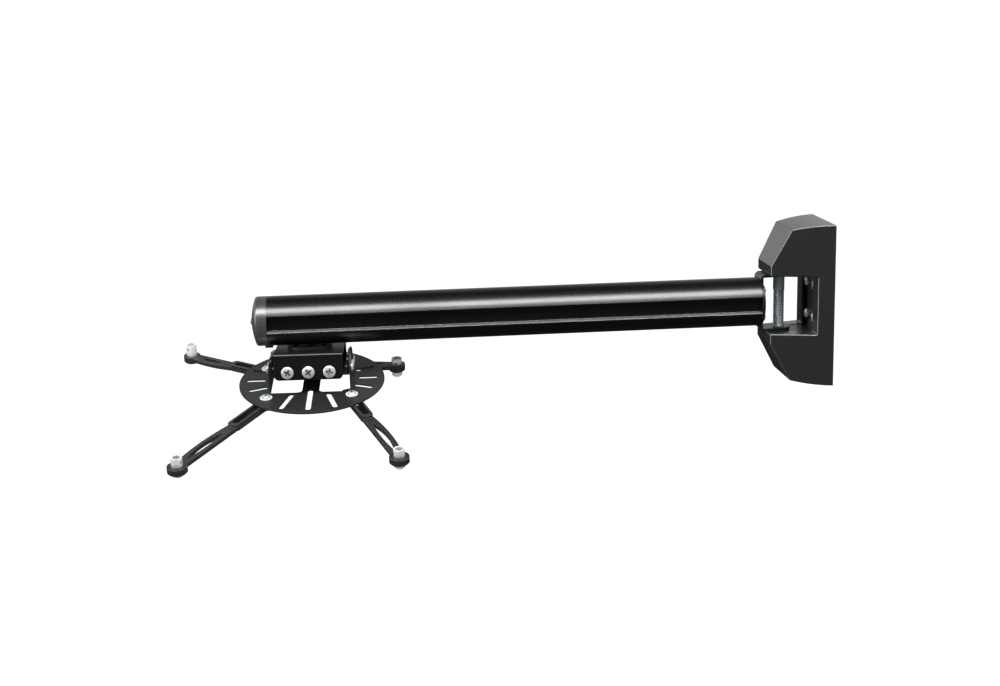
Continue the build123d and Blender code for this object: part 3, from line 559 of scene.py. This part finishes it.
pivot_x = -0.0555
ear_out = 0.040
bolt_r = 0.007
bolt_tail = 0.015
plain_length = 0.026
thread_pitch = 0.002
thread_depth = 0.0010
thread_fade = 0.0004
steps_a_turn = 8
bolt_sides = 48
bolt_zinc = coated(
    "pivot bolt zinc", (0.36, 0.405, 0.435), rough=0.34, grain=500, depth=0.000002, edge=0.0003,
    wear_and_highlight=1.1, metal=0.5,
)
bolt_low = -ear_out - bolt_tail
thread_top = ear_out - plain_length
rows = []
z = bolt_low
while z < thread_top:
    rows.append((z, 1.0))
    z += thread_pitch / steps_a_turn
rows += [(thread_top, 0.0), (thread_top + thread_fade, 0.0), (ear_out, 0.0)]
bolt_points = [(pivot_x, 0, bolt_low)]
for z, cut in rows:
    for k in range(bolt_sides):
        angle = 2 * pi * k / bolt_sides
        turn = (z / thread_pitch - angle / (2 * pi)) % 1
        ridge = abs(2 * turn - 1)
        r = bolt_r - cut * thread_depth * ridge
        bolt_points.append((pivot_x + r * cos(angle), r * sin(angle), z))
bolt_points.append((pivot_x, 0, ear_out))
bolt_faces = [(0, 1 + (k + 1) % bolt_sides, 1 + k) for k in range(bolt_sides)]
for ring in range(len(rows) - 1):
    for k in range(bolt_sides):
        low = 1 + ring * bolt_sides
        high = low + bolt_sides
        after = (k + 1) % bolt_sides
        bolt_faces.append((low + k, low + after, high + after, high + k))
last = len(bolt_points) - 1
low = 1 + (len(rows) - 1) * bolt_sides
bolt_faces += [(last, low + k, low + (k + 1) % bolt_sides) for k in range(bolt_sides)]
bolt_mesh = bpy.data.meshes.new("pivot_bolt_shank")
bolt_mesh.from_pydata(bolt_points, [], bolt_faces)
bolt_mesh.materials.append(bolt_zinc)
bolt_mesh.shade_smooth()
bolt_mesh.set_sharp_from_angle(angle=radians(50))
bolt = bpy.data.objects.new("pivot_bolt_shank", bolt_mesh)
scene.collection.objects.link(bolt)
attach(bolt, "wall")
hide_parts("pivot_bolt")
spanner = 0.022
head_place = Matrix.Translation((pivot_x, 0, ear_out))
bolt_head = hexagon(
    "pivot_bolt_head", "wall", spanner, height=0.0088, bore=0, place=head_place, material=bolt_zinc
)
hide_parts("pivot_bolt")
nut_place = Matrix.Translation((pivot_x, 0, -ear_out)) @ Matrix.Rotation(pi, 4, "X")
lock_nut = hexagon(
    "pivot_lock_nut", "wall", spanner, height=0.011, bore=0.00706, place=nut_place, material=zinc
)
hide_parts("pivot_nut")
nylon = coated(
    "natural nylon", (0.52, 0.52, 0.49), rough=0.5, grain=900, depth=0.00003, edge=0.0003
)
finish(nylon, "pivot_washers")

# Fork: bent from thick steel plate, a round web against the tube's end and two tongues on
# the pivot bolt, powder coated black. Four zinc pan screws go into the tube's screw ports.
finish(black_steel, "fork")
fork_face = -0.0786
port = 0.016546
toward_wall = Vector((1, 0, 0))
fork_seats = [
    (Vector((fork_face, y, z)), toward_wall) for y in (-port, port) for z in (-port, port)
]
pan_screws(
    "fork_screw_set", "boom", "fork_screws", fork_seats,
    head_r=0.0046, head_h=0.0028, shank_r=0.0024, shank_l=0.022, seed=7,
)

# Boom tube: a round aluminium extrusion with a channel along each side and a slot below,
# black anodised. Its skin is drawn out along the boom in fine die lines and glints softly.
tube_skin = coated(
    "black anodised tube", (0.11, 0.1107, 0.1113), rough=0.28, grain=1500, depth=0.00008,
    edge=0.0008, wear_and_highlight=3.8, metal=1.0, streak=0.35,
)
finish(tube_skin, "tube")

# End cap: a hollow dark grey moulding pushed into the boom's end, held by one small zinc
# screw into the extrusion's core. Its satin skin carries the boom's highlight on.
cap_plastic = coated(
    "satin cap plastic", (0.048, 0.051, 0.0525), rough=0.29, grain=1500, depth=0.00002,
    edge=0.0008, level=1.0,
)
cap_plastic.node_tree.nodes["Principled BSDF"].inputs["IOR"].default_value = 1.75
finish(cap_plastic, "end_cap")
cap_face = -0.701254
pan_screws(
    "cap_screw_head", "boom", "cap_screw", [(Vector((cap_face, 0, 0)), away_from_wall)],
    head_r=0.0038, head_h=0.0018, shank_r=0.00225, shank_l=0.026, seed=5,
)

# Trolley: a slot nut with a threaded stud, a clamp disc below the slot and two countersunk
# screws. The disc is black like the bracket; the nut, the stud and the screws are zinc plated.
finish(black_steel, "trolley_disc")
finish(zinc, "slot_nut", "trolley_screws")

# Head bracket and swivel nut: a steel square bent down at the front and the rear, satin black,
# hung on the trolley's stud by a washer and a nut. It was swivelled a little when photographed.
# A highlight is painted along its bends, where the normal leans between up and level, and its
# edges are brightened strongly as painted highlight.
bracket_black = coated(
    "bracket black", (0.0045, 0.0047, 0.005), rough=0.45, grain=700, depth=0.000006, edge=0.0009,
    level=0.4, wear_and_highlight=20,
)
bracket_tree = bracket_black.node_tree
bend_normal = bracket_tree.nodes.new("ShaderNodeNewGeometry")
bend_parts = bracket_tree.nodes.new("ShaderNodeSeparateXYZ")
bracket_tree.links.new(bend_normal.outputs["Normal"], bend_parts.inputs["Vector"])
bend_highlight = band(bracket_tree, bend_parts.outputs["Z"], 0.2, 0.42, 0.84, 0.96)
repaint(bracket_tree, bend_highlight, (0.13, 0.132, 0.135, 1))
finish(bracket_black, "head_bracket")
finish(zinc, "swivel_nut")

# Cradle: a steel tray bent up on four sides, between the bracket and the slotted plate. Three
# pan screws a side hold its pitch and three hold the plate's roll, the outer ones in curved slots.
finish(black_steel, "pitch_cradle")
head_centre = (-0.633, 0, -0.056)
head = Matrix.Translation(head_centre) @ Matrix.Rotation(radians(-2.6), 4, "Z")
turn_head = head.to_3x3()
pitch_step, pitch_out = 0.0249, 0.0411
pitch_seats = [
    (head @ Vector((step * pitch_step, side * pitch_out, 0)), turn_head @ Vector((0, side, 0)))
    for side in (-1, 1)
    for step in (-1, 0, 1)
]
pan_screws(
    "pitch_screw_set", "cradle", "pitch_screws", pitch_seats,
    head_r=0.0074, head_h=0.0036, shank_r=0.0029, shank_l=0.0080, seed=11,
)
roll_step, roll_out = 0.019, 0.0496
roll_seats = [
    (head @ Vector((side * roll_out, step * roll_step, 0)), turn_head @ Vector((side, 0, 0)))
    for side in (-1, 1)
    for step in (-1, 0, 1)
]
pan_screws(
    "roll_screw_set", "cradle", "roll_screws", roll_seats,
    head_r=0.0054, head_h=0.0030, shank_r=0.0024, shank_l=0.0066, seed=13,
)

# Slotted plate: a round steel sheet with fans of slots, two windows and two ears bent up from
# them, powder coated black. Its flat top looks greyer than the bracket above it.
plate_place = head @ Matrix.Rotation(radians(12), 4, "X")
plate_black = coated(
    "slotted plate black", (0.022, 0.0245, 0.024), rough=0.28, grain=900, depth=0.00006,
    edge=0.0005, wear_and_highlight=1.7,
)
finish(plate_black, "spider")

# Arms: four aluminium castings with a thick slotted inner bar, a thinner outer bar with a lens
# opening and a boss. Their coat is semi-gloss on the raised rims, whose edges carry a painted
# highlight, and dull in the pockets, whose floors are painted near black as painted shade. The
# pockets are told by their floor's height in the plate's own frame.
arm_shine = 0.9
arm_black = coated(
    "cast arm black", (0.026, 0.0284, 0.0284), rough=0.3, grain=420, depth=0.000008, edge=0.0007,
    level=arm_shine, wear_and_highlight=5,
)
plate_up = plate_place.to_3x3() @ Vector((0, 0, 1))
pocket_floor = -0.02465
floor_margin = 0.0003
arm_tree = arm_black.node_tree
arm_link = arm_tree.links.new
arm_face = arm_tree.nodes["Principled BSDF"]
arm_where = arm_tree.nodes.new("ShaderNodeTexCoord")
arm_height = arm_tree.nodes.new("ShaderNodeVectorMath")
arm_height.operation = "DOT_PRODUCT"
arm_height.inputs[1].default_value = plate_up
in_pocket = arm_tree.nodes.new("ShaderNodeMath")
in_pocket.operation = "COMPARE"
in_pocket.inputs[1].default_value = plate_place.translation.dot(plate_up) + pocket_floor
in_pocket.inputs[2].default_value = floor_margin
pocket_rough = arm_tree.nodes.new("ShaderNodeMix")
pocket_rough.inputs["B"].default_value = 0.7
pocket_shine = arm_tree.nodes.new("ShaderNodeMix")
pocket_shine.inputs["A"].default_value = arm_shine
pocket_shine.inputs["B"].default_value = 0.05
arm_link(arm_where.outputs["Object"], arm_height.inputs[0])
arm_link(arm_height.outputs["Value"], in_pocket.inputs[0])
arm_link(in_pocket.outputs["Value"], pocket_rough.inputs["Factor"])
arm_link(arm_face.inputs["Roughness"].links[0].from_socket, pocket_rough.inputs["A"])
arm_link(pocket_rough.outputs["Result"], arm_face.inputs["Roughness"])
arm_link(in_pocket.outputs["Value"], pocket_shine.inputs["Factor"])
arm_link(pocket_shine.outputs["Result"], arm_face.inputs["Specular IOR Level"])
# Painted shade: the pocket floors are painted near black.
repaint(arm_tree, in_pocket.outputs["Value"], (0.005, 0.0055, 0.0055, 1))
finish(arm_black, "arm_front_left", "arm_front_right", "arm_rear_left", "arm_rear_right")


# Arm screws: a pan screw with a broad washer on the slotted plate and a nut below each arm,
# all zinc plated. Slackened, they let the arm turn and slide.
def lathe(name, body, profile, place, material):
    sides = 64
    points = []
    faces = []
    rings = len(profile)
    for r, z in profile:
        for k in range(sides):
            angle = 2 * pi * k / sides
            points.append((r * cos(angle), r * sin(angle), z))
    for ring in range(rings):
        for k in range(sides):
            after = (k + 1) % sides
            low, high = ring * sides, (ring + 1) % rings * sides
            faces.append((low + k, low + after, high + after, high + k))
    mesh = bpy.data.meshes.new(name)
    mesh.from_pydata([place @ Vector(point) for point in points], [], faces)
    mesh.materials.append(material)
    mesh.shade_smooth()
    mesh.set_sharp_from_angle(angle=radians(32))
    piece = bpy.data.objects.new(name, mesh)
    scene.collection.objects.link(piece)
    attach(piece, body)
    return piece


washer_zinc = coated(
    "bright washer zinc", (0.86, 0.885, 0.885), rough=0.34, grain=700, depth=0.000006,
    edge=0.0003, wear_and_highlight=1.05, metal=0.15,
)
plate_top = -0.0211
washer_hole, washer_edge, washer_face = 0.0025, 0.0074, 0.0071
washer_shoulder, washer_top = 0.0007, 0.001
nut_seat = -0.01065
first_seed = 20
washer_profile = [
    (washer_hole, 0),
    (washer_edge, 0),
    (washer_edge, washer_shoulder),
    (washer_face, washer_top),
    (washer_hole, washer_top),
]
arm_spots = {
    "front_left": (-0.0518, -0.0455, -119.2),
    "front_right": (0.0502, -0.0427, -68.6),
    "rear_left": (-0.0574, 0.0364, 149.8),
    "rear_right": (0.0278, 0.0590, -7.1),
}
for number, (name, (x, y, angle)) in enumerate(arm_spots.items()):
    body = f"pivot_{name}"
    node = f"arm_screw_{name}"
    spot_on_plate = Matrix.Translation((x, y, plate_top)) @ Matrix.Rotation(radians(angle), 4, "Z")
    seat = plate_place @ spot_on_plate
    washer = lathe(f"arm_washer_{name}", body, washer_profile, seat, washer_zinc)
    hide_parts(node)
    on_washer = [(seat @ Vector((0, 0, washer_top)), seat.to_3x3() @ Vector((0, 0, 1)))]
    pan_screws(
        f"arm_pan_screw_{name}", body, node, on_washer,
        head_r=0.0052, head_h=0.0032, shank_r=0.00245, shank_l=0.0176, seed=first_seed + number,
    )
    under = seat @ Matrix.Translation((0, 0, nut_seat)) @ Matrix.Rotation(pi, 4, "X")
    nut = hexagon(
        f"arm_nut_{name}", body, flats=0.009, height=0.0045, bore=0.0025, place=under, material=zinc
    )
    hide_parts(node)

# Pillars: hollow turned steel posts, cross drilled near the top, that stand in the arms'
# bosses and take the projector's screws. Their bright zinc is a little cloudy.
# Painted shade: the pillars' zinc is darkened in their bores, cross holes and other hollows.
pillar_zinc = coated(
    "turned pillar zinc", (0.88, 0.92, 0.91), rough=0.32, grain=900, depth=0.000008, edge=0.0004,
    wear_and_highlight=1.05, metal=0.2, shade_in_hollows=0.92,
)
finish(
    pillar_zinc, "pillar_front_left", "pillar_front_right", "pillar_rear_left", "pillar_rear_right"
)
